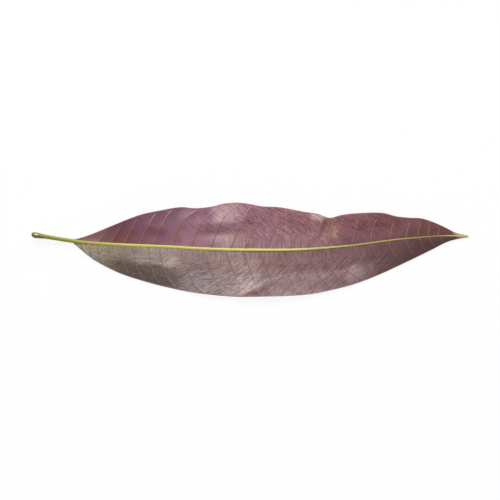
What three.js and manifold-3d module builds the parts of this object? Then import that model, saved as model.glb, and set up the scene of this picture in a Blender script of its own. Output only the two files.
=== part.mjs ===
// A dried mango leaf, lying with its underside up: a thin wavy blade on a raised midrib, which runs
// back into the stalk. It grew as one piece, so it is one closed solid.
// Millimetres. +X runs from the stalk to the tip, +Y across the blade, +Z up off the surface it lies on.
import * as THREE from "three";
import { mergeVertices } from "three/addons/utils/BufferGeometryUtils.js";
import Module from "manifold-3d";

// Lengthwise stations.
const STALK_END = -123;
const BLADE_BASE = -101;
const TIP = 122.5;
const RIB_TIP = 123;

const BLADE_THICKNESS = 0.35;
const NARROWEST = 0.4; // half width that the blade keeps at its two ends, inside the midrib

// The midrib seen from above: [x, y].
const MIDRIB_LINE = [
  [-123, 8.7], [-115, 7.5], [-106, 6.0], [-97, 4.7], [-88, 3.8], [-70, 2.8], [-45, 1.75], [-28, 0.8],
  [-10, 0.25], [12, 0.1], [24, 0.25], [36, 0.8], [50, 1.9], [62, 3.2], [79, 5.5], [92, 6.8], [107, 7.9],
  [115, 8.0], [123, 7.6],
];
// Distance from the midrib to each margin: [x, distance]. The near margin (-Y) is an even bow.
const NEAR_MARGIN = [
  [-101, 0.4], [-96, 3.9], [-90, 8.2], [-84, 11.5], [-73, 16.2], [-56, 20.9], [-39, 24.1], [-22, 25.7],
  [-8, 26.4], [6, 26.2], [34, 25.4], [46, 23.9], [57, 22.2], [68, 19.7], [79, 16.4], [91, 11.9], [102, 7.4],
  [110, 3.7], [114.5, 2.2], [118, 1.4], [122.5, 0.4],
];
// The far margin (+Y) waves in and out, with its deepest notch two thirds of the way along.
const FAR_MARGIN = [
  [-101, 0.4], [-96, 2.1], [-90, 4.7], [-79, 9.8], [-67, 15.2], [-60, 17.8], [-50, 20.2], [-39, 22.5],
  [-31, 22.4], [-22, 23.7], [-14, 25.8], [-5, 26.2], [6, 24.4], [17, 23.7], [30, 20.9], [38, 19.3],
  [44.5, 16.7], [52, 17.7], [62, 17.5], [74, 15.9], [82, 13.0], [90, 11.4], [96, 10.6], [103, 7.9],
  [111, 3.9], [115, 1.9], [122.5, 0.4],
];

// Heights of the blade above the surface, by the share of its length from base to tip: [share, height].
// The leaf touches the surface along the midrib's underside near the base and at one place on each margin.
const SPINE_HEIGHT = [
  [0, 1.5], [0.1, 0.5], [0.16, 0.26], [0.24, 0.26], [0.35, 0.9], [0.5, 2.4], [0.64, 3.7], [0.76, 4.1],
  [0.89, 3.1], [1, 1],
];
const NEAR_HEIGHT = [
  [0, 1.4], [0.1, 0.7], [0.25, 0.5], [0.38, 2.2], [0.5, 3.4], [0.62, 1.6], [0.74, 0.18], [0.78, 0.18],
  [0.9, 0.8], [1, 1],
];
const FAR_HEIGHT = [
  [0, 1.4], [0.06, 2.8], [0.13, 5], [0.21, 6.3], [0.27, 7], [0.33, 5.2], [0.38, 3.5], [0.44, 5.6],
  [0.5, 4.4], [0.57, 4.8], [0.61, 2.6], [0.64, 0.18], [0.69, 3.2], [0.76, 4.6], [0.83, 3.2], [0.9, 2.4],
  [1, 1],
];
// How far each half bellies up (or sags, where negative) between the midrib and its margin.
const NEAR_BELLY = [
  [0, 0], [0.1, 2.4], [0.25, 2.9], [0.38, 0.6], [0.5, -0.9], [0.7, 0.5], [0.85, 0.8], [1, 0],
];
const FAR_BELLY = [
  [0, 0], [0.15, -0.4], [0.27, -0.8], [0.38, 1.4], [0.5, 0.4], [0.64, 1.2], [0.8, 0.6], [1, 0],
];
const CURL = 1.3; // above 1, a margin's lift comes mostly near the margin

// The midrib and stalk: half its width along the leaf, [x, radius]. Its centre sits above the blade.
const RIB_RADIUS = [
  [-123, 1.0], [-121.6, 1.6], [-119.5, 1.55], [-116, 1.25], [-112, 1.1], [-101, 1.12], [-92, 1.0],
  [-60, 0.86], [-20, 0.78], [20, 0.66], [60, 0.54], [100, 0.42], [115, 0.34], [123, 0.2],
];
const RIB_STANDS_PROUD = 0.6; // share of its radius
const STALK_END_HEIGHT = 2.6; // the stalk's centre at its cut end

const BLADE_STEPS = 72;
const BLADE_CELLS = 14;
const RIB_STEPS = 56;
const RIB_SIDES = 10;

// A smooth function through [place, value] points: cubic pieces, each slope taken across its neighbours.
function smoothThrough(points) {
  const last = points.length - 1;
  const slopes = points.map((_, i) => {
    const [before, after] = [points[Math.max(i - 1, 0)], points[Math.min(i + 1, last)]];
    return (after[1] - before[1]) / (after[0] - before[0]);
  });
  return (place) => {
    const x = THREE.MathUtils.clamp(place, points[0][0], points[last][0]);
    const i = Math.min(points.findLastIndex((point) => point[0] <= x), last - 1);
    const [[x0, y0], [x1, y1]] = [points[i], points[i + 1]];
    const width = x1 - x0;
    const t = (x - x0) / width;
    const rise = t * t * (3 - 2 * t);
    const leave = t * (1 - t) * (1 - t) * width * slopes[i];
    const arrive = t * t * (t - 1) * width * slopes[i + 1];
    return y0 + (y1 - y0) * rise + leave + arrive;
  };
}

const midribY = smoothThrough(MIDRIB_LINE);
const spineHeight = smoothThrough(SPINE_HEIGHT);
const ribRadius = smoothThrough(RIB_RADIUS);
const halves = {
  near: halfOfBlade(-1, NEAR_MARGIN, NEAR_HEIGHT, NEAR_BELLY),
  far: halfOfBlade(1, FAR_MARGIN, FAR_HEIGHT, FAR_BELLY),
};

function halfOfBlade(side, margin, height, belly) {
  return { side, margin: smoothThrough(margin), height: smoothThrough(height), belly: smoothThrough(belly) };
}

// A point of the blade's middle surface.
// across runs from -1 at the near margin, through 0 at the midrib, to 1 at the far one.
function bladePoint(x, across) {
  const half = across < 0 ? halves.near : halves.far;
  const out = Math.abs(across);
  const share = (x - BLADE_BASE) / (TIP - BLADE_BASE);
  const width = Math.max(half.margin(x), NARROWEST);
  const spine = spineHeight(share);
  const lift = (half.height(share) - spine) * out ** CURL;
  const belly = half.belly(share) * 4 * out * (1 - out);
  return new THREE.Vector3(x, midribY(x) + half.side * out * width, spine + lift + belly);
}

// A closed skin over sections that all have the same number of points, with a fan over each end.
function loft(sections) {
  const around = sections[0].length;
  const positions = [];
  const triangle = (a, b, c) => positions.push(...a.toArray(), ...b.toArray(), ...c.toArray());
  const cap = (section, flip) => {
    const middle = section.reduce((sum, p) => sum.add(p), new THREE.Vector3()).divideScalar(around);
    section.forEach((p, i) => {
      const next = section[(i + 1) % around];
      if (flip) triangle(middle, next, p);
      else triangle(middle, p, next);
    });
  };
  for (let k = 0; k + 1 < sections.length; k++) {
    for (let i = 0; i < around; i++) {
      const j = (i + 1) % around;
      const [a, b, c, d] = [sections[k][i], sections[k][j], sections[k + 1][j], sections[k + 1][i]];
      triangle(a, b, d);
      triangle(b, c, d);
    }
  }
  cap(sections[0], true);
  cap(sections.at(-1), false);
  const attribute = new THREE.Float32BufferAttribute(positions, 3);
  return new THREE.BufferGeometry().setAttribute("position", attribute);
}

// Evenly spaced places from one end to the other, drawn closer together towards both ends.
function stations(from, to, steps) {
  const closerEnds = 0.04;
  return Array.from({ length: steps + 1 }, (_, k) => {
    const share = k / steps;
    return THREE.MathUtils.lerp(from, to, share - closerEnds * Math.sin(2 * Math.PI * share));
  });
}

// The blade: a thin sheet, its upper skin and then its lower skin run round each section.
function bladeGeometry() {
  const half = new THREE.Vector3(0, 0, BLADE_THICKNESS / 2);
  return loft(stations(BLADE_BASE, TIP, BLADE_STEPS).map((x) => {
    const places = Array.from({ length: BLADE_CELLS + 1 }, (_, j) => (2 * j) / BLADE_CELLS - 1);
    const middle = places.map((across) => bladePoint(x, across));
    const upper = middle.map((p) => p.clone().add(half));
    const lower = middle.map((p) => p.clone().sub(half));
    return [...upper.reverse(), ...lower];
  }));
}

// The midrib and stalk: one tapered rod, which swells at the stalk's end and narrows to the leaf's fine tip.
function ribGeometry() {
  const sitsAt = (x) => bladePoint(x, 0).z + RIB_STANDS_PROUD * ribRadius(x);
  const centreHeight = (x) => {
    if (x >= BLADE_BASE) return sitsAt(x);
    const back = THREE.MathUtils.smoothstep((BLADE_BASE - x) / (BLADE_BASE - STALK_END), 0, 1);
    return THREE.MathUtils.lerp(sitsAt(BLADE_BASE), STALK_END_HEIGHT, back);
  };
  return loft(stations(STALK_END, RIB_TIP, RIB_STEPS).map((x) => {
    const radius = ribRadius(x);
    return Array.from({ length: RIB_SIDES }, (_, i) => {
      const turn = (2 * Math.PI * i) / RIB_SIDES;
      const [y, z] = [radius * Math.cos(turn), radius * Math.sin(turn)];
      return new THREE.Vector3(x, midribY(x) + y, centreHeight(x) + z);
    });
  }));
}

const wasm = await Module();
wasm.setup();

function solidFrom(geometry) {
  const bare = geometry.clone().deleteAttribute("normal").deleteAttribute("uv");
  const merged = mergeVertices(bare, 1e-4);
  const mesh = new wasm.Mesh({
    numProp: 3,
    vertProperties: new Float32Array(merged.attributes.position.array),
    triVerts: new Uint32Array(merged.index.array),
  });
  return new wasm.Manifold(mesh);
}

function geometryFrom(solid) {
  const mesh = solid.getMesh();
  const geometry = new THREE.BufferGeometry();
  geometry.setAttribute("position", new THREE.BufferAttribute(mesh.vertProperties, 3));
  geometry.setIndex(new THREE.BufferAttribute(mesh.triVerts, 1));
  geometry.computeVertexNormals();
  return geometry;
}

// The leaf sinks a hair below z = 0 where it touches, and is cut off there, to rest on small flat places.
const floorBlock = new THREE.BoxGeometry(400, 200, 20).translate(0, 0, -10);
const leafGeometry = geometryFrom(
  solidFrom(bladeGeometry()).add(solidFrom(ribGeometry())).subtract(solidFrom(floorBlock)),
);

// The origin is the middle of the leaf's box, on the surface it lies on.
leafGeometry.computeBoundingBox();
const middle = leafGeometry.boundingBox.getCenter(new THREE.Vector3());
leafGeometry.translate(-middle.x, -middle.y, 0);

const leaf = new THREE.Mesh(
  leafGeometry,
  new THREE.MeshStandardMaterial({ color: 0x84605f, roughness: 0.55, metalness: 0 }),
);
leaf.name = "leaf";

const driedLeaf = new THREE.Group();
driedLeaf.add(leaf);
export default driedLeaf;
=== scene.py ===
# %% [markdown]
# # A dried mango leaf
#
# The leaf lies with its underside up, the side on which the veins stand out. It grew as one: a blade as thin
# as card, a midrib that runs back into the stalk, and the side veins. Here it is made in five pieces that
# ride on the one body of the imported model, so that each can have its own finish: the blade, the midrib with
# its stalk, and three sizes of vein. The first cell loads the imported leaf, whose box says where they go.

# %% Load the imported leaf
import math

import bpy
import numpy as np
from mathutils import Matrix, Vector


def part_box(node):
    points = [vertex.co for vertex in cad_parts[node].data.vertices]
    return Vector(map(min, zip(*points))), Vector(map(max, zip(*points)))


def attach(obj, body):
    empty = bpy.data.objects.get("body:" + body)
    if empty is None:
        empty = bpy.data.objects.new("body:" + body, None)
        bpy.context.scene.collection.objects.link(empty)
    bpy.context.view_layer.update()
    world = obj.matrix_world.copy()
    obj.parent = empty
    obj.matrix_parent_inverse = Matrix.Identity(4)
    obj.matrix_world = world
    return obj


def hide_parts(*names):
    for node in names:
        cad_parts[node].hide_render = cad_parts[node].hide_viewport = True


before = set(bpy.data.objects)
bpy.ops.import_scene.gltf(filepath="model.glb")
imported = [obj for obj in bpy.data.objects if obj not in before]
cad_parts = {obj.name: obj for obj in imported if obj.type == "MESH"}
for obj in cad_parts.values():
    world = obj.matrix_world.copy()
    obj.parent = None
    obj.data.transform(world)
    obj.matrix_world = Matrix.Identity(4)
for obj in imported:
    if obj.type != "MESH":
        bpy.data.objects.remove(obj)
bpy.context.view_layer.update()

MM = 0.001
leaf_low, leaf_high = np.array(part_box("leaf"))
print("packed leaf, mm:", np.round((leaf_high - leaf_low) / MM, 1))

# %% [markdown]
# ## The leaf's outline
#
# Seen from above, a leaf is a bent line, the midrib, with a distance to the margin on each side of it.
# Each needs only a few points, with a smooth curve through them. One closed outline would need many more,
# and the veins would have nothing to start from. The far half (+Y) waves in and out, and the near half (-Y)
# is an even bow. All of it is in millimetres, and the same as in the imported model.

# %% A smooth curve through a few points
def smooth_through(*points):
    """A function that passes smoothly through [place, value] points, and is level beyond both ends."""
    place, value = np.array(points, float).T
    after, before = np.r_[1 : len(place), len(place) - 1], np.r_[0, 0 : len(place) - 1]
    slope = (value[after] - value[before]) / (place[after] - place[before])

    def curve(where):
        where = np.clip(where, place[0], place[-1])
        i = np.clip(np.searchsorted(place, where, side="right") - 1, 0, len(place) - 2)
        width = place[i + 1] - place[i]
        t = (where - place[i]) / width
        rise = t * t * (3 - 2 * t)
        bend = t * (1 - t) ** 2 * slope[i] + t * t * (t - 1) * slope[i + 1]
        return value[i] + (value[i + 1] - value[i]) * rise + width * bend

    return curve


# %% The midrib's line and the two margins
STALK_END, BLADE_BASE, BLADE_TIP, RIB_TIP = -123, -101, 122.5, 123
BLADE_LENGTH = BLADE_TIP - BLADE_BASE
NARROWEST = 0.4

midrib_y = smooth_through(
    (-123, 8.7), (-115, 7.5), (-106, 6.0), (-97, 4.7), (-88, 3.8), (-70, 2.8), (-45, 1.75), (-28, 0.8),
    (-10, 0.25), (12, 0.1), (24, 0.25), (36, 0.8), (50, 1.9), (62, 3.2), (79, 5.5), (92, 6.8), (107, 7.9),
    (115, 8.0), (123, 7.6),
)
near_margin = smooth_through(
    (-101, 0.4), (-96, 3.9), (-90, 8.2), (-84, 11.5), (-73, 16.2), (-56, 20.9), (-39, 24.1), (-22, 25.7),
    (-8, 26.4), (6, 26.2), (34, 25.4), (46, 23.9), (57, 22.2), (68, 19.7), (79, 16.4), (91, 11.9),
    (102, 7.4), (110, 3.7), (114.5, 2.2), (118, 1.4), (122.5, 0.4),
)
far_margin = smooth_through(
    (-101, 0.4), (-96, 2.1), (-90, 4.7), (-79, 9.8), (-67, 15.2), (-60, 17.8), (-50, 20.2), (-39, 22.5),
    (-31, 22.4), (-22, 23.7), (-14, 25.8), (-5, 26.2), (6, 24.4), (17, 23.7), (30, 20.9), (38, 19.3),
    (44.5, 16.7), (52, 17.7), (62, 17.5), (74, 15.9), (82, 13.0), (90, 11.4), (96, 10.6), (103, 7.9),
    (111, 3.9), (115, 1.9), (122.5, 0.4),
)
print("widest, mm:", round(float(near_margin(-5) + far_margin(-5)), 1))

# %% [markdown]
# ## How the blade waves
#
# A dried blade is never flat. The share of the way from base to tip gives the height of the midrib, of each
# margin, and how far each half bellies between them. On top of that lie a few creases and swells, each a
# soft ridge or hollow with its own place, size and turn. The waves could be sculpted by hand, but the veins
# that are laid on the blade later could not follow them as easily as they follow a few curves.

# %% The heights along the leaf
spine_height = smooth_through(
    (0, 1.5), (0.1, 0.5), (0.16, 0.26), (0.24, 0.26), (0.35, 0.9), (0.5, 2.4), (0.64, 3.7), (0.76, 4.1),
    (0.89, 3.1), (1, 1),
)
near_height = smooth_through(
    (0, 1.4), (0.1, 0.7), (0.25, 0.5), (0.38, 2.2), (0.5, 3.4), (0.62, 1.6), (0.74, 0.18), (0.78, 0.18),
    (0.9, 0.8), (1, 1),
)
far_height = smooth_through(
    (0, 1.4), (0.06, 2.8), (0.13, 5), (0.21, 6.3), (0.27, 7), (0.33, 5.2), (0.38, 3.5), (0.44, 5.6),
    (0.5, 4.4), (0.57, 4.8), (0.61, 2.6), (0.64, 0.18), (0.69, 3.2), (0.76, 4.6), (0.83, 3.2), (0.9, 2.4),
    (1, 1),
)
near_belly = smooth_through(
    (0, 0), (0.1, 2.4), (0.25, 2.9), (0.38, 0.6), (0.5, -0.9), (0.7, 0.5), (0.85, 0.8), (1, 0),
)
far_belly = smooth_through(
    (0, 0), (0.15, -0.4), (0.27, -0.8), (0.38, 1.4), (0.5, 0.4), (0.64, 1.2), (0.8, 0.6), (1, 0),
)
CURL = 1.3  # above 1, a margin's lift comes mostly near the margin

# Each swell: its middle x and y, length and width, turn in degrees, and height (below 0 for a hollow).
SWELLS = [
    (-18.5, 9, 14, 2.4, 4, -0.9),  # the long hollow in the far half, and the ridge beyond it
    (-17, 15.5, 14, 2.4, 6, 0.9),
    (-60.5, -4.2, 6, 0.8, 0, 0.50),  # crumples in the near half
    (-54, -7.6, 6, 0.9, -14, 0.55),
    (-47, -7, 5, 1.3, 35, -0.45),
    (-36, -10, 4, 1.2, 60, 0.3),
    (-3, -23.4, 8, 1.5, 26, 0.5),  # the turned-down wedge at the near margin
    (4, -24.6, 7, 1.6, 22, -0.4),
    (59, -13, 8, 3, 60, 0.5),
    (37, 17.5, 4, 2.2, 60, 0.7),  # the fold that runs in from the notch
    (42, 13, 6, 1.1, 64, -0.35),
    (-38, 15, 6, 2.5, 50, 0.5),
]
STIFF = 1.5  # mm from the midrib at which the swells have half their height


def turned(x, y, middle_x, middle_y, turn):
    """How far along and how far over a shape each place is, for a shape turned by some degrees."""
    c, s = math.cos(math.radians(turn)), math.sin(math.radians(turn))
    return (x - middle_x) * c + (y - middle_y) * s, (y - middle_y) * c - (x - middle_x) * s


def swell(x, y, middle_x, middle_y, length, width, turn, height):
    """A soft ridge or hollow that has lost two thirds of its height at `length` along or `width` over."""
    along, over = turned(x, y, middle_x, middle_y, turn)
    return height * np.exp(-((along / length) ** 2) - (over / width) ** 2)


# %% A point of the blade
def blade_middle(share, across):
    """x, y and height of the blade's middle layer. across runs from -1 at the near margin to 1."""
    x = BLADE_BASE + share * BLADE_LENGTH
    out, far = np.abs(across), across > 0
    width = np.maximum(np.where(far, far_margin(x), near_margin(x)), NARROWEST)
    y = midrib_y(x) + across * width
    spine = spine_height(share)
    lift = (np.where(far, far_height(share), near_height(share)) - spine) * out**CURL
    belly = np.where(far, far_belly(share), near_belly(share)) * 4 * out * (1 - out)
    free = out * width / (out * width + STIFF)
    return x, y, spine + lift + belly + free * sum(swell(x, y, *each) for each in SWELLS)


# %% [markdown]
# ## Where the side veins run
#
# The side veins leave the midrib 8 to 13 mm apart at mid-leaf and closer together towards both ends. Each
# leans towards the tip, bows a little, and may hook round near the margin, so three numbers give its path.
# It is needed twice: for arrays of numbers, where the blade puckers between its veins, and for the sockets
# of a Geometry Nodes tree, which lays the veins. So it is written once, in plain sums that work on both. For
# that, a small class wraps a socket, and each sum on it adds a Math node.

# %% Sums on the sockets of a node tree
def summing(operation):
    """A method that adds one Math node for a sum of two numbers."""
    return lambda first, second: first.math(operation, second)


class Value:
    """A number that runs through a node tree. Sums on it add Math nodes."""

    def __init__(self, tree, socket):
        self.tree, self.socket = tree, socket

    def math(self, operation, *others):
        sockets = dict(enumerate([self, *others]))
        return self.tree.add("ShaderNodeMath", {"operation": operation}, sockets)["Value"]

    def __rsub__(self, other):
        return self.tree.add("ShaderNodeMath", {"operation": "SUBTRACT"}, {0: other, 1: self})["Value"]

    __add__ = __radd__ = summing("ADD")
    __sub__ = summing("SUBTRACT")
    __mul__ = __rmul__ = summing("MULTIPLY")
    __truediv__ = summing("DIVIDE")
    __pow__ = summing("POWER")
    __gt__ = summing("GREATER_THAN")


class Outputs:
    """The outputs of one node, by name, identifier or number."""

    def __init__(self, tree, node):
        self.tree, self.node = tree, node

    def __getitem__(self, key):
        return Value(self.tree, self.tree.find(self.node.outputs, key))


class Tree:
    """A node tree to build in. add() makes one node, with its settings first and then its sockets."""

    def __init__(self, tree):
        self.tree = tree

    def find(self, sockets, key):
        """A socket by its number, its identifier, or the name that shows on the node."""
        if isinstance(key, int):
            return sockets[key]
        by_identifier = [socket for socket in sockets if socket.identifier == key]
        by_name = [socket for socket in sockets if socket.name == key and socket.enabled]
        return (by_identifier + by_name)[0]

    def add(self, kind, settings=None, sockets=None):
        node = self.tree.nodes.new(kind)
        for name, setting in (settings or {}).items():
            if name == "stops":
                self.set_stops(node.color_ramp, setting)
            else:
                setattr(node, name, setting)
        for key, value in (sockets or {}).items():
            socket = self.find(node.inputs, key)
            if isinstance(value, Value):
                self.tree.links.new(value.socket, socket)
            else:
                socket.default_value = value
        return Outputs(self, node)

    def set_stops(self, ramp, stops):
        ramp.interpolation = "EASE"
        while len(ramp.elements) < len(stops):
            ramp.elements.new(1.0)
        for element, (position, colour) in zip(ramp.elements, stops):
            element.position, element.color = position, colour

    def mix(self, share, first, second, blend="MIX"):
        """A colour between two, by share."""
        settings = {"data_type": "RGBA", "blend_type": blend}
        sockets = {"Factor_Float": share, "A_Color": first, "B_Color": second}
        return self.add("ShaderNodeMix", settings, sockets)["Result_Color"]

    def step(self, value, start, end):
        """0 before start and 1 after end, with a smooth rise between."""
        ends = {"Value": value, "From Min": start, "From Max": end}
        return self.add("ShaderNodeMapRange", {"interpolation_type": "SMOOTHSTEP"}, ends)["Result"]

    def place(self, a, b, c=0.0):
        """Three numbers joined into one vector."""
        return self.add("ShaderNodeCombineXYZ", None, {0: a, 1: b, 2: c})["Vector"]

    def split(self, vector):
        """The three numbers of a vector."""
        parts = self.add("ShaderNodeSeparateXYZ", None, {0: vector})
        return parts["X"], parts["Y"], parts["Z"]

    def noise(self, a, b, c=0.0, detail=2.0, roughness=0.5):
        """Soft random values about 0.5 at the place (a, b, c), given in steps of the noise."""
        sockets = {"Vector": self.place(a, b, c), "Scale": 1.0, "Detail": detail, "Roughness": roughness}
        return self.add("ShaderNodeTexNoise", None, sockets)[0]


def sine(angle):
    return angle.math("SINE") if isinstance(angle, Value) else np.sin(angle)


# %% Where each side vein starts and how it runs
# side: -1 or 1 along y. starts: mm along the leaf. path: rows of share from base to tip, lean, bow and hook.
# slant: how steeply the fine wrinkles come down to the midrib, and how that grows along the leaf. cockled:
# how strong the broad relief is. net_from: the share of the way from base to tip at which the net starts.
# wrinkled: how wrinkled the half is, by that share.
NEAR = dict(
    side=-1, margin=near_margin, slant=0.65, slant_growth=0.0042, cockled=1.4, net_from=0.24,
    wrinkled=smooth_through((0, 0.3), (0.2, 0.6), (0.3, 1), (0.45, 1.25), (0.7, 1.15), (0.78, 0.9),
                            (0.9, 0.3), (1, 0.2)),
    starts=(-95.4, -90.7, -86.1, -79.8, -72.3, -66.3, -57.8, -51.6, -39.9, -26.8, -14.6, -4.7, 4.8, 15, 23.4,
            31.5, 42, 48.5, 57.1, 67.3, 77.1, 86.4, 94.4, 100.4, 106.5),
    path=[(0, 0, 0.15, 0.1), (0.13, 0.02, 0.2, 0.1), (0.165, 0.15, 0.15, 0.18), (0.2, 0.15, 0.06, 0.22),
          (0.24, 0.2, 0.19, 0.3), (0.335, 0.3, 0.14, 0.27), (0.39, 0.41, 0, 0), (0.45, 0.35, 0.03, 0),
          (0.54, 0.44, 0.02, 0), (0.595, 0.4, 0.06, 0.2), (0.643, 0.2, 0.15, 0.4), (0.674, 0.17, 0.45, 0.1),
          (0.715, 0.6, 0, 0), (0.76, 0.32, 0.2, 0), (0.85, 0.45, 0, 0), (1, 0.45, 0, 0)],
)
FAR = dict(
    side=1, margin=far_margin, slant=0.8, slant_growth=0.0, cockled=1.0, net_from=0.4,
    wrinkled=smooth_through((0, 0.15), (0.3, 0.3), (0.38, 0.5), (0.45, 1.2), (0.6, 1.35), (0.72, 1.1),
                            (0.85, 0.4), (1, 0.2)),
    starts=(-93.7, -86.3, -79.6, -71.7, -63.2, -55.6, -44.6, -33.6, -22.3, -11.3, -3.1, 8.7, 22, 32.2, 42.9,
            48.5, 57.5, 67.7, 78.2, 87.2, 94.1, 99.8, 105.4),
    path=[(0, 1, 0.12, 0.15), (0.066, 0.85, 0.12, 0.15), (0.133, 0.5, 0.12, 0.15), (0.18, 0.42, 0.15, 0.06),
          (0.25, 0.31, 0.2, 0.26), (0.36, 0.28, 0.22, 0.25), (0.405, 0.39, 0.04, 0), (0.443, 0.4, 0.1, 0.27),
          (0.5, 0.33, 0.18, 0.2), (0.56, 0.38, 0.1, 0.1), (0.6, 0.44, 0.05, 0.05), (0.644, 0.16, 0.05, 0.1),
          (0.67, 0.02, 0.2, 0.1), (0.713, 0, 0.22, 0.1), (0.757, 0, 0.22, 0.4), (0.8, 0.08, 0.15, 0.1),
          (0.845, 0.1, 0.2, 0), (0.88, 0, 0.25, 0), (1, 0.18, 0, 0)],
)
HALVES = [NEAR, FAR]
HOOK_POWER = 7  # the higher, the nearer to the margin the hook starts
TURNS_TO_SETTLE = 12  # enough for veins_passed to settle well within a tenth of a millimetre


def vein_path(start, half):
    """Lean, bow and hook of the vein that starts at this share, each as a share of the blade's length."""
    width = half["margin"](BLADE_BASE + start * BLADE_LENGTH) / BLADE_LENGTH
    rows = np.array(half["path"])
    return [width * np.interp(start, rows[:, 0], rows[:, k]) for k in (1, 2, 3)]


def sweep(out, lean, bow, hook):
    """How far towards the tip a vein has run when it is `out` of the way to the margin."""
    return out * lean + out**2 * bow + out**HOOK_POWER * hook


def veins_passed(share, out, half):
    """How many side veins lie between the base and each place: whole numbers are on a vein."""
    start = share
    for _ in range(TURNS_TO_SETTLE):
        better = share - sweep(out, *vein_path(start, half))
        start = np.clip(0.5 * start + 0.5 * better, 0.001, 0.999)
    starts = (np.array(half["starts"]) - BLADE_BASE) / BLADE_LENGTH
    ends = np.r_[0, starts, 1]
    return np.interp(start, ends, np.arange(len(ends)))


for half in HALVES:
    apart = float(np.diff(half["starts"]).mean())
    print(len(half["starts"]), "side veins, mean distance apart, mm:", round(apart, 1))

# %% [markdown]
# ## The blade
#
# A sheet this thin could be a plane with a Solidify modifier. It is lofted instead: one ring of points
# round each cross-section, over the upper skin, round the margin and back under the lower skin. So the
# upper skin, which is all that shows, is much finer than the lower one, and the margin has a round edge.
#
# Between its veins the blade puckers a little. Beside the midrib its fine wrinkles stand square to the
# midrib, and further out they run slantwise from one side vein to the next.

# %% Soft noise for the blade's small relief
LATTICE = 256


def soft_noise(a, b, seed):
    """Smooth random heights from -1 to 1, about one unit apart, at the places (a, b)."""
    lattice = np.random.default_rng(seed).uniform(-1, 1, (LATTICE, LATTICE))
    i, j = np.floor(a).astype(int), np.floor(b).astype(int)
    s, t = (v * v * (3 - 2 * v) for v in (a - i, b - j))

    def corner(di, dj):
        return lattice[(i + di) % LATTICE, (j + dj) % LATTICE]

    low = corner(0, 0) * (1 - s) + corner(1, 0) * s
    return low * (1 - t) + (corner(0, 1) * (1 - s) + corner(1, 1) * s) * t


def smooth_step(value, start, end):
    """0 before start and 1 after end, with a smooth rise between."""
    t = np.clip((value - start) / (end - start), 0, 1)
    return t * t * (3 - 2 * t)


# %% The wrinkles
UPRIGHT_TO, SLANTED_FROM = 4.0, 9.0  # mm from the midrib
CRUMPLED_TO, SMOOTH_FROM = 0.20, 0.34  # share from base to tip, for the near half
# Each kind of relief: how long, how far apart, and how high it is, in mm.
SLANTED_RIDGES = [(6.5, 0.80, 0.13), (9, 2.4, 0.10)]
UPRIGHT_RIDGES = (1.1, 9, 0.08)
COCKLES = (9, 6, 0.30)
CRUMPLES = (1.9, 1.5, 0.12)
PUCKER = 0.15  # how far the blade rises at a side vein and sinks between two, in mm
WARP, FINE_WARP = (8, 8, 1.8), (2.2, 2.2, 0.4)  # how far the slanted ridges wander sideways
FLAT_TO, FREE_FROM = 0.8, 4  # mm from the midrib, which holds the blade flat


def over_wrinkles(x, from_midrib, half):
    """How far across the slanted wrinkles a place is, in mm. It works on arrays and on sockets."""
    return from_midrib + x * (half["slant"] + half["slant_growth"] * x)


def creased(values):
    """Smooth heights from -1 to 1 turned into narrow crests with wide hollows between them."""
    return 1 - 2 * np.abs(values)


def small_relief(share, across, x, y):
    """Puckers between the veins and wrinkles across them, in mm."""
    height, from_midrib = np.zeros_like(x), np.abs(y - midrib_y(x))
    slanting = smooth_step(from_midrib, UPRIGHT_TO, SLANTED_FROM)
    held = smooth_step(from_midrib, FLAT_TO, FREE_FROM)

    def relief(a, b, kind, seed, shape=lambda values: values):
        long, apart, high = kind
        return high * shape(soft_noise(a / long, b / apart, seed))

    for number, half in enumerate(HALVES):
        out = np.clip(across * half["side"], 0, 1)
        between = np.cos(2 * math.pi * veins_passed(share, out, half))
        pucker = PUCKER * between * smooth_step(out, 0, 0.15) * (1 - 0.6 * out)

        warp = relief(x, from_midrib, WARP, 10 + number) + relief(x, from_midrib, FINE_WARP, 12)
        over = over_wrinkles(x, from_midrib, half) + warp
        slanted = sum(relief(x, over, kind, 20 + number + 2 * k, creased)
                      for k, kind in enumerate(SLANTED_RIDGES))
        upright = relief(x, from_midrib, UPRIGHT_RIDGES, 30 + number)
        ripple = (slanted * slanting + upright * (1 - slanting)) * half["wrinkled"](share)

        ripple = ripple + relief(x, from_midrib, COCKLES, 40 + number) * half["cockled"]
        if half is NEAR:
            crumples = relief(x, from_midrib, CRUMPLES, 60, creased)
            ripple = ripple + crumples * (1 - smooth_step(share, CRUMPLED_TO, SMOOTH_FROM))
        ripple = ripple * held * (1 - 0.5 * smooth_step(out, 0.9, 1))
        height = np.where(across * half["side"] > 0, pucker + ripple, height)
    return height


# %% A closed skin over a stack of rings
def loft(name, rings):
    """A closed mesh over rings that all have the same number of points, with a fan over each end. In mm."""
    count, around = rings.shape[:2]
    start = np.arange(count - 1)[:, None] * around
    here = np.arange(around)[None, :]
    beside = (here + 1) % around
    sides = [start + here, start + beside, start + around + beside, start + around + here]
    sides = np.stack(sides, -1).reshape(-1, 4)
    points = np.concatenate([rings.reshape(-1, 3), rings[0].mean(0)[None], rings[-1].mean(0)[None]])
    first, last, top = count * around, count * around + 1, (count - 1) * around
    fans = [(first, int(b), int(a)) for a, b in zip(here[0], beside[0])]
    fans += [(last, int(a) + top, int(b) + top) for a, b in zip(here[0], beside[0])]
    mesh = bpy.data.meshes.new(name)
    mesh.from_pydata(points * MM, [], sides.tolist() + fans)
    mesh.shade_smooth()
    return mesh


# %% The blade's rings
THICKNESS = 0.3
ALONG, ACROSS_UPPER, ACROSS_LOWER = 640, 120, 26  # cells
MARGIN_BULGE = 0.12  # how far the rounded edge stands out past the margin
CLEAR = 0.03  # air kept above the surface that the leaf lies on
GUIDE_CLEAR = CLEAR + 0.25  # the same for the skin that the veins are laid on


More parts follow.
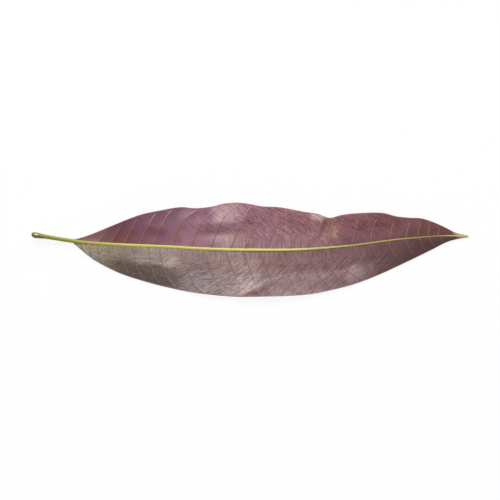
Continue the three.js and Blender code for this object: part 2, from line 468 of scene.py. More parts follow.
def skin(across_cells):
    """The middle layer as a grid of points, and the way out of it at each, with share and across."""
    grid = np.linspace(0, 1, ALONG + 1), np.linspace(-1, 1, across_cells + 1)
    share, across = np.meshgrid(*grid, indexing="ij")
    x, y, z = blade_middle(share, across)
    points = np.stack([x, y, z + small_relief(share, across, x, y)], -1)
    normals = np.cross(np.gradient(points, axis=0), np.gradient(points, axis=1))
    return points, normals / np.linalg.norm(normals, axis=-1, keepdims=True), share, across


middle, out_of, share, across = skin(ACROSS_UPPER)
upper = middle + out_of * THICKNESS / 2
middle_below, out_of_below, share_below, across_below = skin(ACROSS_LOWER)
lower = middle_below - out_of_below * THICKNESS / 2

outwards = np.zeros_like(middle[:, 0])
outwards[:, 1] = MARGIN_BULGE
near_edge, far_edge = middle[:, 0] - outwards, middle[:, -1] + outwards
rings = np.concatenate([far_edge[:, None], upper[:, ::-1], near_edge[:, None], lower], axis=1)
ring_share = np.concatenate([share[:, :1], share, share[:, :1], share_below], axis=1)
ring_across = np.concatenate([across[:, -1:], across[:, ::-1], across[:, :1], across_below], axis=1)

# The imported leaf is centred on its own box, so the same small shift centres this one.
shift_y = (leaf_low[1] + leaf_high[1]) / 2 / MM - (rings[..., 1].max() + rings[..., 1].min()) / 2


def settle(points, clear=CLEAR):
    """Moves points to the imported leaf's frame and keeps them just above the surface it lies on."""
    points = points + np.array([0, shift_y, 0])
    points[..., 2] = np.maximum(points[..., 2], clear)
    return points


rings = settle(rings)
upper = settle(upper, GUIDE_CLEAR)
blade_mesh = loft("leaf_blade", rings)
print("blade: shift y, mm", round(float(shift_y), 3), "faces", len(blade_mesh.polygons))


# %% Marks that the finishes read: where on the leaf each point is
def store(mesh, name, values):
    """Stores three numbers on each point of a mesh. Points beyond the list repeat its last row."""
    values = np.reshape(values, (-1, 3))
    values = np.concatenate([values, np.repeat(values[-1:], len(mesh.vertices) - len(values), axis=0)])
    attribute = mesh.attributes.new(name, "FLOAT_VECTOR", "POINT")
    attribute.data.foreach_set("vector", values.astype(np.float32).ravel())


def leaf_map(share, across, points):
    """Share from base to tip, place across, and mm from the midrib, for points in the leaf's frame."""
    from_midrib = np.abs(points[..., 1] - shift_y - midrib_y(points[..., 0]))
    return np.stack([share, across, from_midrib], -1)


store(blade_mesh, "leaf_map", leaf_map(ring_share, ring_across, rings))


def show(name, data):
    """An object in the scene for a finished mesh, a light or a camera."""
    made = bpy.data.objects.new(name, data)
    bpy.context.scene.collection.objects.link(made)
    return made


blade = show("leaf_blade", blade_mesh)

# %% [markdown]
# ## The midrib and stalk
#
# The midrib is a tapered rod, partly sunk in the blade and a little flattened along it. Past the blade's
# base it goes on as the stalk, which swells where it was joined to the twig and ends in a shallow scar. A
# curve with a bevel has only round rings. Here each ring has its own shape, with grooves along the rod.

# %% The midrib's rings
rib_radius = smooth_through(
    (-123, 1.0), (-121.6, 1.6), (-119.5, 1.55), (-116, 1.25), (-112, 1.1), (-101, 1.12), (-92, 1.0),
    (-60, 0.86), (-20, 0.78), (20, 0.66), (60, 0.54), (100, 0.42), (115, 0.34), (123, 0.2),
)
rib_flatness = smooth_through((-123, 1), (-104, 1), (-92, 0.72), (123, 0.72))
RIB_PROUD = 0.6  # how far its centre stands above the blade, as a share of its radius
STALK_END_HEIGHT = 2.6
RIB_STEPS, RIB_SIDES = 520, 36
GROOVES, GROOVE_DEPTH, LUMPS = 7, 0.035, 0.03  # depth and lumps as shares of the radius
GROOVE_TWIST = 0.03  # radians per mm
SCAR_X, SCAR_SIZE = np.array([-122.3, -122.35, -122.75]), np.array([0.25, 0.5, 0.78])


def rib_height(x):
    """The height of the rod's centre: proud of the blade, then level out along the free stalk."""
    share = np.clip((x - BLADE_BASE) / BLADE_LENGTH, 0, 1)
    on_blade = spine_height(share) + RIB_PROUD * rib_radius(np.maximum(x, BLADE_BASE)) * rib_flatness(x)
    back = smooth_step((BLADE_BASE - x) / (BLADE_BASE - STALK_END), 0, 1)
    return on_blade * (1 - back) + STALK_END_HEIGHT * back


def rib_rings(stations, size):
    """Rings of the rod at each x, scaled by size, grooved along its length."""
    turn = np.linspace(0, 2 * math.pi, RIB_SIDES, endpoint=False)[None]
    x = stations[:, None]
    groove = GROOVE_DEPTH * np.cos(GROOVES * turn + GROOVE_TWIST * x)
    lumps = LUMPS * soft_noise(x / 4, np.minimum(turn, 2 * math.pi - turn) * 3, 50)
    radius = rib_radius(x) * (1 + groove + lumps) * size[:, None]
    y, z = midrib_y(x) + radius * np.cos(turn), rib_height(x) + radius * rib_flatness(x) * np.sin(turn)
    return np.stack([np.broadcast_to(x, radius.shape), y, z], -1)


stations = np.linspace(STALK_END, RIB_TIP, RIB_STEPS + 1)
rod = rib_rings(stations, np.ones(len(stations)))
scar = rib_rings(SCAR_X, SCAR_SIZE)
rib_mesh = loft("midrib_and_stalk", settle(np.concatenate([scar, rod])))
rib = show("midrib_and_stalk", rib_mesh)
print("midrib: faces", len(rib_mesh.polygons))

# %% [markdown]
# ## The veins
#
# Each vein is a fine tapered rod, laid on the blade. Curves drawn by hand would float off the blade each
# time it changed, so a Geometry Nodes tree lays them. It starts from loose points, one for each vein, which
# carry where the vein starts, how it runs and how thick it is. The tree turns each point into a short line,
# works out where on the leaf each place of that line belongs, looks up those places on the blade's skin,
# and gives the line its thickness.
#
# It makes all three sizes: the side veins, the upright veinlets that stand on the midrib between them, and
# the net of wrinkle-thin strands that cross slantwise from vein to vein.

# %% The tree that lays veins on the blade
TREE_INPUTS = {"Geometry": "Geometry", "Skin": "Object", "Places": "Int", "Sides": "Int", "Raised": "Float",
               "Wander": "Float", "Material": "Material"}
WAVES, WAVE_SHIFT = 9, 900  # how a vein wanders from side to side, and how that differs from vein to vein
TAPER = 0.8  # below 1, a vein keeps its thickness longer
LAST_SHARE = 0.999  # keeps the lookup off the very tip, where the skin has no width


def vein_tree():
    """A tree that turns points into rods on the blade's skin."""
    group = bpy.data.node_groups.new("lay_veins", "GeometryNodeTree")
    for name, kind in TREE_INPUTS.items():
        group.interface.new_socket(name, in_out="INPUT", socket_type="NodeSocket" + kind)
    group.interface.new_socket("Geometry", in_out="OUTPUT", socket_type="NodeSocketGeometry")
    tree = Tree(group)
    given = tree.add("NodeGroupInput")

    def node(kind, settings=None, **sockets):
        return tree.add("GeometryNode" + kind, settings, sockets)

    def mark(name):
        return node("InputNamedAttribute", {"data_type": "FLOAT_VECTOR"}, Name=name)["Attribute"]

    line = node("CurvePrimitiveLine")["Curve"]
    line = node("ResampleCurve", Curve=line, Count=given["Places"])["Curve"]
    lines = node("InstanceOnPoints", Points=given["Geometry"], Instance=line)["Instances"]
    lines = node("RealizeInstances", Geometry=lines)["Geometry"]

    start, begin, end = tree.split(mark("vein_span"))
    lean, bow, hook = tree.split(mark("vein_path"))
    side, thick, thin = tree.split(mark("vein_size"))
    along = node("SplineParameter")["Factor"]
    out = begin + (end - begin) * along
    wander = sine(along * WAVES + start * WAVE_SHIFT) * along * given["Wander"] / BLADE_LENGTH
    share = (start + sweep(out - begin, lean, bow, hook) + wander).math("MINIMUM", LAST_SHARE)
    place = tree.place(share, out * side)

    skin = node("ObjectInfo", Object=given["Skin"])["Geometry"]
    skin_map = mark("leaf_map")

    def on_skin(what):
        sockets = {"Mesh": skin, "Value": what, "UV Map": skin_map, "Sample UV": place}
        return node("SampleUVSurface", {"data_type": "FLOAT_VECTOR"}, **sockets)["Value"]

    map_here = on_skin(skin_map)
    radius = (thin + (thick - thin) * (1 - along) ** TAPER) * MM
    normal = on_skin(node("InputNormal")["Normal"])
    point = on_skin(node("InputPosition")["Position"])
    raised = {0: normal, "Scale": radius * given["Raised"]}
    lift = tree.add("ShaderNodeVectorMath", {"operation": "SCALE"}, raised)["Vector"]
    position = tree.add("ShaderNodeVectorMath", {"operation": "ADD"}, {0: point, 1: lift})["Vector"]
    lines = node("SetPosition", Geometry=lines, Position=position)["Geometry"]
    lines = node("SetCurveNormal", {"mode": "Z_UP"}, Curve=lines)["Curve"]
    for kind, name, value in [("FLOAT", "vein_along", along), ("FLOAT_VECTOR", "leaf_map", map_here)]:
        settings = {"data_type": kind, "domain": "POINT"}
        lines = node("StoreNamedAttribute", settings, Geometry=lines, Name=name, Value=value)["Geometry"]

    circle = node("CurvePrimitiveCircle", {"mode": "RADIUS"}, Resolution=given["Sides"], Radius=1.0)["Curve"]
    sockets = {"Curve": lines, "Profile Curve": circle, "Scale": radius, "Fill Caps": True}
    rods = node("CurveToMesh", **sockets)["Mesh"]
    rods = node("SetShadeSmooth", Geometry=rods)["Geometry"]
    rods = node("RealizeInstances", Geometry=rods)["Geometry"]
    rods = node("SetMaterial", Geometry=rods, Material=given["Material"])["Geometry"]
    tree.add("NodeGroupOutput", None, {"Geometry": rods})
    return group


veins_group = vein_tree()
print("vein tree nodes", len(veins_group.nodes))


# %% The blade's upper skin, for the tree to lay veins on
def skin_guide(points):
    """An open grid of the blade's upper skin. It only guides the veins, and is removed afterwards."""
    rows, columns = points.shape[:2]
    corner = (np.arange(rows - 1)[:, None] * columns + np.arange(columns - 1)[None]).ravel()
    faces = np.stack([corner, corner + columns, corner + columns + 1, corner + 1], -1)
    mesh = bpy.data.meshes.new("upper_skin")
    mesh.from_pydata(points.reshape(-1, 3) * MM, [], faces.tolist())
    store(mesh, "leaf_map", leaf_map(share, across, points))
    return show("upper_skin", mesh)


def lay_veins(name, rows, **sizes):
    """Runs the tree on both halves' rows of span, path and size. Returns the veins as a plain object."""
    veins = np.array([row for half in HALVES for row in rows(half)])
    mesh = bpy.data.meshes.new(name)
    mesh.from_pydata([(0, 0, 0)] * len(veins), [], [])
    for k, attribute in enumerate(["vein_span", "vein_path", "vein_size"]):
        store(mesh, attribute, veins[:, 3 * k : 3 * k + 3])
    points = show(name + "_points", mesh)
    modifier = points.modifiers.new("veins", "NODES")
    modifier.node_group = veins_group
    for item in veins_group.interface.items_tree:
        if item.in_out == "INPUT" and item.name in sizes:
            modifier[item.identifier] = sizes[item.name]
    evaluated = points.evaluated_get(bpy.context.evaluated_depsgraph_get())
    laid = bpy.data.meshes.new_from_object(evaluated)
    bpy.data.objects.remove(points)
    laid.name = name
    print(name, len(veins), "veins, faces", len(laid.polygons))
    return show(name, laid)


# %% [markdown]
# Each row below is one vein: where it starts, from how far out to how far out it runs, its lean, bow and
# hook, its half of the leaf, and its thick and thin ends. What is left to chance comes from a fixed seed.

# %% The rows for the three sizes of vein
SIDE_VEIN_THICK, SIDE_VEIN_THIN = 0.31, 0.18  # radius in mm at each end, near the leaf's base
THINNER_AT_TIP = 0.4
vein_end = smooth_through((0, 0.8), (0.15, 0.9), (0.25, 0.95), (0.6, 0.93), (0.7, 0.86), (0.8, 0.76),
                          (1, 0.7))


def side_vein_rows(half):
    """Side veins, each from the midrib almost to the margin."""
    chance = np.random.default_rng(5 + half["side"])
    for x in half["starts"]:
        start = (x - BLADE_BASE) / BLADE_LENGTH
        lean, bow, hook = vein_path(start, half)
        end = vein_end(start) + chance.uniform(-0.02, 0.02)
        size = 1 - THINNER_AT_TIP * start**3
        yield [start, 0, end, lean, bow, hook, half["side"], SIDE_VEIN_THICK * size, SIDE_VEIN_THIN * size]


VEINLETS_FROM, VEINLETS_TO = -92.0, 104  # mm along the leaf


def veinlet_rows(half):
    """Upright veinlets on the midrib, between the side veins."""
    chance = np.random.default_rng(15 + half["side"])
    x = VEINLETS_FROM
    while x < VEINLETS_TO:
        start = (x - BLADE_BASE) / BLADE_LENGTH
        reach = float(half["margin"](x)) / BLADE_LENGTH
        lively = float(half["wrinkled"](start)) ** 0.5
        end, size = chance.uniform(0.10, 0.42) * lively, chance.uniform(0.07, 0.15) * lively
        yield [start, 0, end, reach * chance.uniform(-0.06, 0.12), 0, 0, half["side"], size, 0.4 * size]
        x += chance.uniform(1.5, 4.4)


STRANDS, BOLD_STRANDS = 460, 90  # in each half
NET_TO = 0.78  # share from base to tip
INNERMOST = 0.12  # share from midrib to margin


def net_rows(half):
    """Strands that run down the slanted wrinkles from one side vein to the next."""
    chance = np.random.default_rng(25 + half["side"])
    for number in range(STRANDS + BOLD_STRANDS):
        start, begin = chance.uniform(half["net_from"], NET_TO), chance.uniform(0.3, 0.95)
        bold = number >= STRANDS
        x = BLADE_BASE + start * BLADE_LENGTH
        width = float(half["margin"](x))
        slant = half["slant"] + 2 * half["slant_growth"] * x
        long = chance.uniform(5, 9) if bold else chance.uniform(2, 6)
        size = chance.uniform(0.08, 0.12) if bold else chance.uniform(0.03, 0.07)
        end = max(begin - long * math.sin(math.atan(slant)) / width, INNERMOST)
        bend = chance.uniform(-1, 1) * width / BLADE_LENGTH
        yield [start, begin, end, -width / slant / BLADE_LENGTH, bend, 0, half["side"], size, 0.5 * size]


# %% [markdown]
# ## Finishes
#
# Each finish is a node tree written as sums. Colours are given as they look, from 0 to 255, and turned into
# the linear values that Blender works in.

# %% Helpers for the finishes
def look(red, green, blue):
    """A colour as it looks on a screen, as the linear colour that Blender wants."""
    shares = [level / 255 for level in (red, green, blue)]
    linear = [c / 12.92 if c <= 0.04045 else ((c + 0.055) / 1.055) ** 2.4 for c in shares]
    return (*linear, 1.0)


def finish(name, build, **constants):
    """A material with a Principled shader. build(tree) returns what varies over the surface."""
    material = bpy.data.materials.new(name)
    material.use_nodes = True
    material.node_tree.nodes.clear()
    tree = Tree(material.node_tree)
    varies = build(tree)
    shader = tree.add("ShaderNodeBsdfPrincipled", None, {**constants, **varies})
    tree.add("ShaderNodeOutputMaterial", None, {"Surface": shader["BSDF"]})
    print("finish", name, "nodes", len(material.node_tree.nodes))
    return material


def object_place(tree):
    """x, y and z in mm."""
    return [metres / MM for metres in tree.split(tree.add("ShaderNodeTexCoord")["Object"])]


def ramp(tree, share, stops):
    """A colour that runs smoothly through [share, colour] stops."""
    stops = [(place, look(*colour)) for place, colour in stops]
    return tree.add("ShaderNodeValToRGB", {"stops": stops}, {"Fac": share})["Color"]


def spot(tree, x, y, middle_x, middle_y, length, width, turn=0.0, soft=0.6):
    """1 inside an ellipse on the leaf and 0 outside it, with a soft edge. In mm."""
    along, over = turned(x, y, middle_x, middle_y, turn)
    along, over = along / length, over / width
    return 1 - tree.step((along * along + over * over) ** 0.5, 1 - soft, 1 + soft)


def shaded(tree, colour, shade):
    """A colour made lighter or darker by a number about 1."""
    grey = tree.add("ShaderNodeCombineColor", None, {0: shade, 1: shade, 2: shade})["Color"]
    return tree.mix(1.0, colour, grey, "MULTIPLY")


def bumped(tree, height, strength, distance):
    """A surface direction tilted by a height, whose full rise is distance, in metres."""
    sockets = {"Strength": strength, "Distance": distance, "Height": height}
    return tree.add("ShaderNodeBump", None, sockets)["Normal"]


# %% [markdown]
# ### The blade's finish
#
# The underside is mauve. On the far half it is plum at the base, has a violet cast after that, and turns to
# a reddish plum beyond the notch. The near half has a grey-olive bloom, thickest at the base, that is partly
# its own colour and partly painted sheen, with a darker band along the margin there that is partly painted
# shade. Four ramps give these, for the inner and outer part of each half. Patches of painted sheen and
# painted shade, red specks, a rusty scar at the notch, painted shade past the crease from the notch and on
# the wedge turned down at the near margin, and the pale winding track of an insect lie on top. The wrinkles
# show as streaks of painted highlight on their crests and painted shade in their creases. A painted picture
# could hold all this, but it would blur close up, and a spot that is a few numbers can be moved by changing
# one of them.

# %% The blade's colours
# Each ramp: the share of the way from base to tip, and the colour there.
FAR_OUTER = [(0.04, (153, 108, 109)), (0.12, (126, 75, 87)), (0.21, (144, 93, 114)), (0.32, (155, 111, 129)),
             (0.50, (148, 103, 116)), (0.60, (142, 97, 104)), (0.70, (119, 71, 78)), (0.92, (98, 54, 53))]
FAR_INNER = [(0.04, (159, 120, 127)), (0.12, (120, 71, 78)), (0.21, (130, 83, 98)), (0.32, (157, 112, 125)),
             (0.50, (155, 112, 122)), (0.60, (154, 113, 120)), (0.70, (125, 81, 90)), (0.92, (96, 54, 54))]
# The near half's grey-olive at the base is partly its own bloom and partly painted sheen, and its darker band
# by the margin is partly painted shade.
NEAR_INNER = [(0.04, (135, 122, 98)), (0.13, (116, 103, 92)), (0.21, (131, 116, 110)),
              (0.30, (128, 103, 102)), (0.42, (149, 118, 118)), (0.56, (136, 101, 105)),
              (0.70, (121, 86, 91)), (0.79, (104, 68, 72)), (0.88, (88, 54, 56))]
NEAR_OUTER = [(0.04, (152, 143, 124)), (0.13, (96, 80, 70)), (0.22, (97, 81, 79)), (0.30, (135, 120, 121)),
              (0.42, (158, 136, 137)), (0.56, (146, 120, 122)), (0.70, (137, 108, 114)),
              (0.74, (132, 103, 107)), (0.79, (104, 72, 75)), (0.88, (88, 54, 56))]
# Patch colours: a pale painted sheen where the blade's slopes would catch the light, a dark painted shade
# where they turn from it, a violet-tinted painted sheen, and a darker purple.
PAINTED_SHEEN, PAINTED_SHADE, VIOLET_SHEEN, PURPLE = look(200, 172, 172), look(88, 66, 62), look(170, 142, 160), look(114, 72, 94)
RUST, RED, OLIVE = look(160, 98, 56), look(158, 60, 70), look(182, 158, 112)
FAR_RIM, NEAR_RIM, TIP_PALE = look(168, 92, 88), look(176, 148, 130), look(176, 166, 112)
# Painted shade past the crease that runs in from the notch, and on the wedge turned down at the near margin.
FOLD_SHADE, WEDGE_SHADE = look(104, 72, 64), look(112, 74, 76)

# Patches, most of them painted sheen or painted shade: middle x and y, length and width, turn in degrees,
# colour, and how strong it is. In mm.
PATCHES = [
    # In the far half.
    (-14, 20.5, 8, 5, 10, PAINTED_SHEEN, 0.50), (-12, 5, 9, 4.5, 0, PAINTED_SHEEN, 0.45), (-19, 10.3, 9, 2.4, 6, PAINTED_SHADE, 0.18),
    (-36.5, 20.5, 4, 2.4, 30, VIOLET_SHEEN, 0.45), (-24, 18.5, 3, 4.5, -15, PURPLE, 0.40),
    (-47, 15, 7, 2.2, 25, VIOLET_SHEEN, 0.25), (-52, 9, 6, 3, 10, PURPLE, 0.2),
    # In the near half.
    (-60, -11.6, 10, 2.6, -10, PAINTED_SHADE, 0.45), (-46, -16.5, 6, 3.4, -20, PAINTED_SHADE, 0.25),
    (-44.5, -6.5, 4, 3.5, 0, PAINTED_SHEEN, 0.25), (-61, -5.8, 5, 1.4, -5, PAINTED_SHEEN, 0.16),
    (-41, -15, 5, 2.8, -30, PAINTED_SHADE, 0.32), (-13.5, -17.4, 7, 2.6, -8, PAINTED_SHADE, 0.22),
    (-1, -14, 9, 5, 70, PAINTED_SHEEN, 0.22), (-30, -21, 9, 4, -10, PAINTED_SHEEN, 0.20), (-3, -20, 8, 5, 20, PAINTED_SHEEN, 0.32),
    (59, -13, 6, 4, 60, PAINTED_SHEEN, 0.25),
    # Around the notch.
    (37.4, 18.4, 3.6, 2.0, -14, PAINTED_SHEEN, 0.65), (40.2, 17.0, 1.0, 1.8, -20, PAINTED_SHEEN, 0.5),
    (42.2, 15.9, 3.0, 2.0, -20, FOLD_SHADE, 0.65), (42.9, 15.7, 1.5, 1.0, -10, RUST, 0.7),
    (46.5, 11.5, 3.6, 3.0, 50, RUST, 0.13), (47.6, 10.6, 1.7, 2.6, 10, OLIVE, 0.18),
    (40.5, 6.2, 1.4, 0.9, 0, PAINTED_SHEEN, 0.3),
]
# Red specks: x, y and size in mm.
SPECKS = [
    (-1.5, 15.5, 2.2), (11, 21.5, 1.8), (26.3, 12.8, 1.2), (50.2, 12.2, 1.4), (62.5, 10.6, 1.5),
    (65.6, 15.8, 1.8), (55.8, -2.4, 1.2), (80, 14, 1.8), (16, 18, 1.5), (34, 9, 1.3),
]

# %% The blade's finish
# How much each kind of relief lightens the colour, and how high it stands in the bump, all as shares. The
# wrinkle and bold terms are painted highlight on crests and painted shade in creases; the thin and patchy
# terms are random tone.
WRINKLE_SHADE, BOLD_SHADE, THIN_SHADE, PATCHY_SHADE = 0.44, 0.19, 0.5, 0.35
WRINKLE_RISE, BOLD_RISE, FINE_RISE = 0.5, 0.42, 0.3
MEAN_WRINKLE = 0.42
BUMP_STRENGTH, BUMP_HEIGHT = 0.9, 0.0004  # height in metres
SPECK_STRENGTH = 0.26
RIM_FROM, RIM_TO = 0.972, 0.988  # share from midrib to margin


def blade_place(tree):
    """Share from base to tip, place across, and mm from the midrib."""
    return tree.split(tree.add("ShaderNodeAttribute", {"attribute_name": "leaf_map"})["Vector"])


def crest(value, narrow):
    """1 along the lines where a noise crosses its mean, and 0 away from them."""
    return 1 - ((value - 0.5).math("ABSOLUTE") * narrow).math("MINIMUM", 1.0)


def blade_wrinkles(tree, x, y, from_midrib, far, at_base):
    """How high on a fine wrinkle each place is, and whether it is in one of the bolder creases."""
    wavy = tree.noise(x / 8, y / 8, detail=1.0) * 4 + tree.noise(x / 2, y / 2, detail=1.0) * 0.9
    near_over = over_wrinkles(x, from_midrib, NEAR)
    over = near_over + (over_wrinkles(x, from_midrib, FAR) - near_over) * far + wavy
    slanted = crest(tree.noise(x / 5, over / 0.95, far * 9, detail=1.0), 6)
    upright = crest(tree.noise(x / 1.7, y / 9, far * 4, detail=1.0), 6) * 0.7 + 0.1
    beyond = tree.step(from_midrib, UPRIGHT_TO, SLANTED_FROM)
    bold = crest(tree.noise(x / 8, over / 3.4, far * 7, detail=0.0), 11) * beyond
    crumpled = crest(tree.noise(x / 1.7, y / 1.4, 2.0, detail=2.0), 6)
    wrinkle = upright + (slanted - upright) * beyond
    return wrinkle + (crumpled - wrinkle) * at_base, bold * (1 - at_base)


def insect_track(tree, x, y):
    """1 on the thin winding track beside the notch."""
    wander = sine(y * 1.3) * 0.7 + sine(y * 0.5 + 1.0) * 0.8
    aside = (x - 49.6 - wander + (y - 5) * 0.35).math("ABSOLUTE")
    return (1 - tree.step(aside, 0.08, 0.38)) * tree.step(y, 3.4, 4.2) * (1 - tree.step(y, 10, 12.5))


def half_colours(tree, share, out, far, broad):
    """The ground colour: two ramps in each half, which meet half way out."""
    outer = tree.step(out + (broad - 0.5) * 0.3, 0.43, 0.61)
    far_half = tree.mix(outer, ramp(tree, share, FAR_INNER), ramp(tree, share, FAR_OUTER))
    near_half = tree.mix(outer, ramp(tree, share, NEAR_INNER), ramp(tree, share, NEAR_OUTER))
    return tree.mix(far, near_half, far_half)


def fold(tree, x, y, patchy):
    """1 just past the crease that runs in from the notch, where painted shade lies, and fading towards the
    tip.
    """
    past = x - 33.4 - y * 0.473 + (patchy - 0.5)
    band = tree.step(past, -0.2, 0.5) * (1 - tree.step(past, 2, 9))
    return band * tree.step(y, 2, 7) * (1 - tree.step(y, 15, 18))


def wedge(tree, x, y):
    """1 on the wedge turned down at the near margin, where painted shade lies."""
    past = x * 0.483 - 23.2 - y
    return tree.step(past, 0.0, 0.5) * tree.step(x, -5.5, -3.5) * (1 - tree.step(x, 4, 19))


def blade_finish(tree, lightness=1.0):
    """Mauve and grey-olive, with everything that lies on it, and the wrinkles as streaks and bump."""
    share, across, from_midrib = blade_place(tree)
    x, y, _ = object_place(tree)
    far, out = across > 0, across.math("ABSOLUTE")
    at_base = (1 - tree.step(share, CRUMPLED_TO, SMOOTH_FROM)) * (1 - far)
    wrinkle, bold = blade_wrinkles(tree, x, y, from_midrib, far, at_base)
    broad = tree.noise(x / 14, y / 8, detail=3.0)
    patchy = tree.noise(x / 4, y / 3, 3.0, detail=4.0, roughness=0.6)
    thin = tree.noise(x / 0.9, y / 0.7, 5.0, detail=2.0)
    cell_place = {"Vector": tree.place(x / 0.8, y / 0.8), "Scale": 1.0}
    cell_edge = tree.add("ShaderNodeTexVoronoi", {"feature": "DISTANCE_TO_EDGE"}, cell_place)["Distance"]
    cells = cell_edge.math("MINIMUM", 0.2)

    colour = half_colours(tree, share + (patchy - 0.5) * 0.03, out, far, broad)
    for *place, patch_colour, strength in PATCHES:
        patch = spot(tree, x + (broad - 0.5) * 4, y + (patchy - 0.5) * 3, *place)
        colour = tree.mix(patch * strength, colour, patch_colour)
    for speck_x, speck_y, size in SPECKS:
        near_x, near_y = x + (patchy - 0.5) * 6, y + (wrinkle - 0.5) * 0.6
        speck = spot(tree, near_x, near_y, speck_x, speck_y, size, size * 0.7)
        colour = tree.mix(speck * SPECK_STRENGTH, colour, RED)
    flush = tree.step(tree.noise(x / 1.6, y / 1.3, 8.0, detail=3.0), 0.56, 0.72)
    flush = flush * tree.step(share, 0.35, 0.5)
    pale_tip = tree.step(share + (patchy - 0.5) * 0.02 + far * 0.01, 0.965, 0.99)
    # Where each lies, how strong it is, and its colour.
    layers = [
        # The fold and wedge layers are painted shade.
        (flush, 0.2, RED), (fold(tree, x, y, patchy), 0.34, FOLD_SHADE),
        (wedge(tree, x, y), 0.72, WEDGE_SHADE), (insect_track(tree, x, y), 0.5, OLIVE),
        (tree.step(out, RIM_FROM, RIM_TO), 0.55, tree.mix(far, NEAR_RIM, FAR_RIM)),
        (pale_tip, 0.9, TIP_PALE),
    ]
    for where, strength, layer_colour in layers:
        colour = tree.mix(where * strength, colour, layer_colour)

    # The bold lines are painted shade along creases, but painted highlight along ridges past mid-leaf in the
    # near half.
    bold = bold * (tree.step(share, 0.5, 0.64) * (1 - far) * 2.3 - 1)
    lively = 0.3 + tree.step(share - far * 0.14, 0.14, 0.3) * (1 - tree.step(share, 0.72, 0.9)) * 0.7
    lively = lively + (0.9 - lively) * at_base
    # Painted highlight on the wrinkle crests and painted shade in their creases, laid into the colour.
    wrinkle_highlight_and_shade = ((wrinkle - MEAN_WRINKLE) * WRINKLE_SHADE + bold * BOLD_SHADE) * lively
    shade = lightness + wrinkle_highlight_and_shade + (thin - 0.5) * THIN_SHADE + (patchy - 0.5) * PATCHY_SHADE
    raised = (wrinkle * WRINKLE_RISE + bold * BOLD_RISE) * lively + (thin + cells + patchy) * FINE_RISE
    return {"Base Color": shaded(tree, colour, shade), "Roughness": 0.44 + wrinkle * 0.08 + thin * 0.1,
            "Normal": bumped(tree, raised, BUMP_STRENGTH, BUMP_HEIGHT)}


BLADE_SHINE = {"Specular IOR Level": 0.45}
blade_material = finish("dried_blade", blade_finish, **BLADE_SHINE)

# %% [markdown]
# ### The midrib's and the veins' finishes
#
# The midrib is yellow-green and slightly waxy: olive on the stalk, brightest at mid-leaf and browner towards
# the tip, which is pale again. The side veins are olive in the near half and browner in the far half, and
# carry a painted highlight by the margin between a quarter and a half of the way along. The veinlets are a
# darker purple than the blade, and the strands of the net are painted a little lighter than it, a painted
# highlight along the wrinkle ridges they stand for. All of these could share the blade's finish, but then
# they would hardly show from straight above, where their height casts no shadow.

# %% The midrib and stalk
RIB_COLOURS = [(0.00, (110, 108, 18)), (0.03, (124, 126, 24)), (0.08, (136, 137, 28)),
               (0.13, (162, 155, 58)), (0.25, (192, 186, 88)), (0.55, (206, 208, 110)),
               (0.78, (154, 143, 68)), (0.92, (136, 118, 64)), (0.98, (196, 188, 122))]
# A pale spot on the knob that is partly a pale facet and partly a painted highlight, and a dark patch on its
# lower edge that is partly brown and partly painted shade.
PALE_FACET_AND_HIGHLIGHT, KNOB_BROWN_AND_SHADE, TIP_DARK = look(238, 234, 218), look(96, 80, 30), look(110, 92, 46)
# Spots on the knob: middle x and y, length and width, and turn in degrees.
PALE_FACET_SPOT, KNOB_SHADE_SPOT = (-120.4, 8.6, 0.9, 0.32, -8), (-118.6, 6.9, 3.2, 0.7, -12)


def rib_finish(tree):
    """Grain along the rod, a pale spot on the knob that is partly a painted highlight, a dark patch on its
    lower edge that is partly painted shade, and a dark point at the tip.
    """
    x, y, z = object_place(tree)
    grain = tree.noise(x / 9, y / 0.35, z / 0.35, detail=3.0)
    mottle = tree.noise(x / 2.5, y / 1.2, z / 1.2, detail=3.0)
    colour = ramp(tree, (x - STALK_END) / (RIB_TIP - STALK_END), RIB_COLOURS)
    colour = tree.mix(spot(tree, x, y, *PALE_FACET_SPOT) * 0.85, colour, PALE_FACET_AND_HIGHLIGHT)
    colour = tree.mix(spot(tree, x, y, *KNOB_SHADE_SPOT) * 0.8, colour, KNOB_BROWN_AND_SHADE)
    colour = tree.mix(tree.step(x, 121.4, 122.6), colour, TIP_DARK)
    return {"Base Color": shaded(tree, colour, 0.84 + grain * 0.22 + mottle * 0.12),
            "Roughness": 0.34 + mottle * 0.16, "Normal": bumped(tree, grain + mottle * 0.5, 0.4, 0.0001)}


# %% The three sizes of vein
# The net strands are painted lighter than the blade, a painted highlight along the wrinkle ridges they stand
# for.
NET_HIGHLIGHT = 1.16  # beside the blade's own finish


def vein_finish(near_half, far_half, at_margin, painted_highlight):
    """Colours near the midrib in each half, further out, and further out where a painted highlight lies on
    the veins.
    """
    def build(tree):
        x, y, z = object_place(tree)
        share, across, _ = blade_place(tree)
        far = across > 0
        mottle = tree.noise(x / 1.6, y / 1.6, z, detail=3.0)
        along = tree.add("ShaderNodeAttribute", {"attribute_name": "vein_along"})["Fac"]
        # The stretch of the side veins that carries a painted highlight, by the margin between a quarter and
        # a half of the way along.
        pale = tree.step(share + far * 0.08, 0.22, 0.28) * (1 - tree.step(share, 0.42, 0.52))
        inner = tree.mix(far, look(*near_half), look(*far_half))
        outer = tree.mix(pale, look(*at_margin), look(*painted_highlight))
        colour = tree.mix(tree.step(along + (mottle - 0.5) * 0.5, 0.5, 0.95), inner, outer)
        darker = tree.step(share, 0.7, 0.85) * (1 - far) * 0.2
        return {"Base Color": shaded(tree, colour, 1 - darker + (mottle - 0.5) * 0.3),
                "Roughness": 0.42 + mottle * 0.2, "Normal": bumped(tree, mottle, 0.3, 0.00005)}

    return build


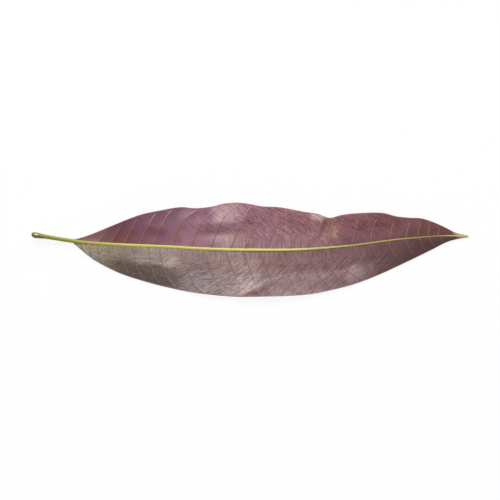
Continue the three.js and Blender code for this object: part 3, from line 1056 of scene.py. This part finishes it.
VEINLET, VEINLET_AT_MARGIN = (102, 66, 68), (122, 84, 86)
side_vein_colours = vein_finish((134, 113, 72), (150, 116, 82), (144, 116, 86), (198, 180, 164))
veinlet_colours = vein_finish(VEINLET, VEINLET, VEINLET_AT_MARGIN, VEINLET_AT_MARGIN)
rib_material = finish("midrib_green", rib_finish)
side_vein_material = finish("vein_olive", side_vein_colours)
veinlet_material = finish("veinlet_purple", veinlet_colours)
net_material = finish("net_pale", lambda tree: blade_finish(tree, NET_HIGHLIGHT), **BLADE_SHINE)
blade.data.materials.append(blade_material)
rib.data.materials.append(rib_material)

# %% Lay the three sizes of vein
# Raised is how far a vein's middle stands off the skin, as a share of its radius, and Wander is in mm.
guide = skin_guide(upper)
side_veins = lay_veins("side_veins", side_vein_rows, Skin=guide, Places=44, Sides=8, Raised=0.15,
                       Material=side_vein_material)
veinlets = lay_veins("veinlets", veinlet_rows, Skin=guide, Places=14, Sides=6, Raised=-0.2, Wander=0.3,
                     Material=veinlet_material)
net = lay_veins("net_strands", net_rows, Skin=guide, Places=7, Sides=4, Raised=-0.1, Wander=0.2,
                Material=net_material)
bpy.data.objects.remove(guide)

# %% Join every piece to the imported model
PIECES = {blade: "blade", rib: "midrib_and_stalk", side_veins: "side_veins", veinlets: "side_veins",
          net: "side_veins"}
for piece, slot in PIECES.items():
    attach(piece, "root")
    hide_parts("leaf")

# %% [markdown]
# ## The studio
#
# A white floor, a large soft light beyond the far margin that rakes across the leaf, and a white sky to fill
# the shadows. The light is far off, to be as bright at one end of the leaf as at the other. The floor glows,
# which keeps the leaf's shadow faint. The camera looks straight down.

# %% The floor and the sky
FLOOR_HALF = 6.0  # metres
SKY_STRENGTH = 0.55
corners = [(x * FLOOR_HALF, y * FLOOR_HALF, 0) for x, y in ((-1, -1), (1, -1), (1, 1), (-1, 1))]
floor_mesh = bpy.data.meshes.new("floor")
floor_mesh.from_pydata(corners, [], [(0, 1, 2, 3)])
floor = show("floor", floor_mesh)
floor_look = {"Base Color": look(92, 92, 92), "Roughness": 0.9, "Specular IOR Level": 0.1,
              "Emission Color": (1, 1, 1, 1), "Emission Strength": 0.88}
floor.data.materials.append(finish("floor_white", lambda tree: {}, **floor_look))

scene = bpy.context.scene
world = bpy.data.worlds.new("studio")
world.use_nodes = True
sky = world.node_tree.nodes["Background"]
sky.inputs["Color"].default_value = (1, 1, 1, 1)
sky.inputs["Strength"].default_value = SKY_STRENGTH
scene.world = world


# %% The light and the camera
LIGHT_PLACE, LIGHT_SIZE, LIGHT_POWER = (-0.3, 2.4, 1.86), 1.5, 82.0  # metres and watts
VIEW_WIDTH = 0.2821  # metres of floor from one side of the view to the other
VIEW_MIDDLE = (-0.0003, -0.0001)

light_data = bpy.data.lights.new("far_light", "AREA")
light_data.shape, light_data.size, light_data.energy = "SQUARE", LIGHT_SIZE, LIGHT_POWER
light = show("far_light", light_data)
light.location = LIGHT_PLACE
light.rotation_mode = "QUATERNION"
light.rotation_quaternion = (-Vector(LIGHT_PLACE)).to_track_quat("-Z", "Y")

camera_data = bpy.data.cameras.new("camera")
camera_data.lens, camera_data.sensor_width = 100.0, 36.0
camera_height = VIEW_WIDTH * camera_data.lens / camera_data.sensor_width
scene.camera = show("camera", camera_data)
scene.camera.location = (*VIEW_MIDDLE, camera_height)
scene.view_settings.view_transform = "Standard"
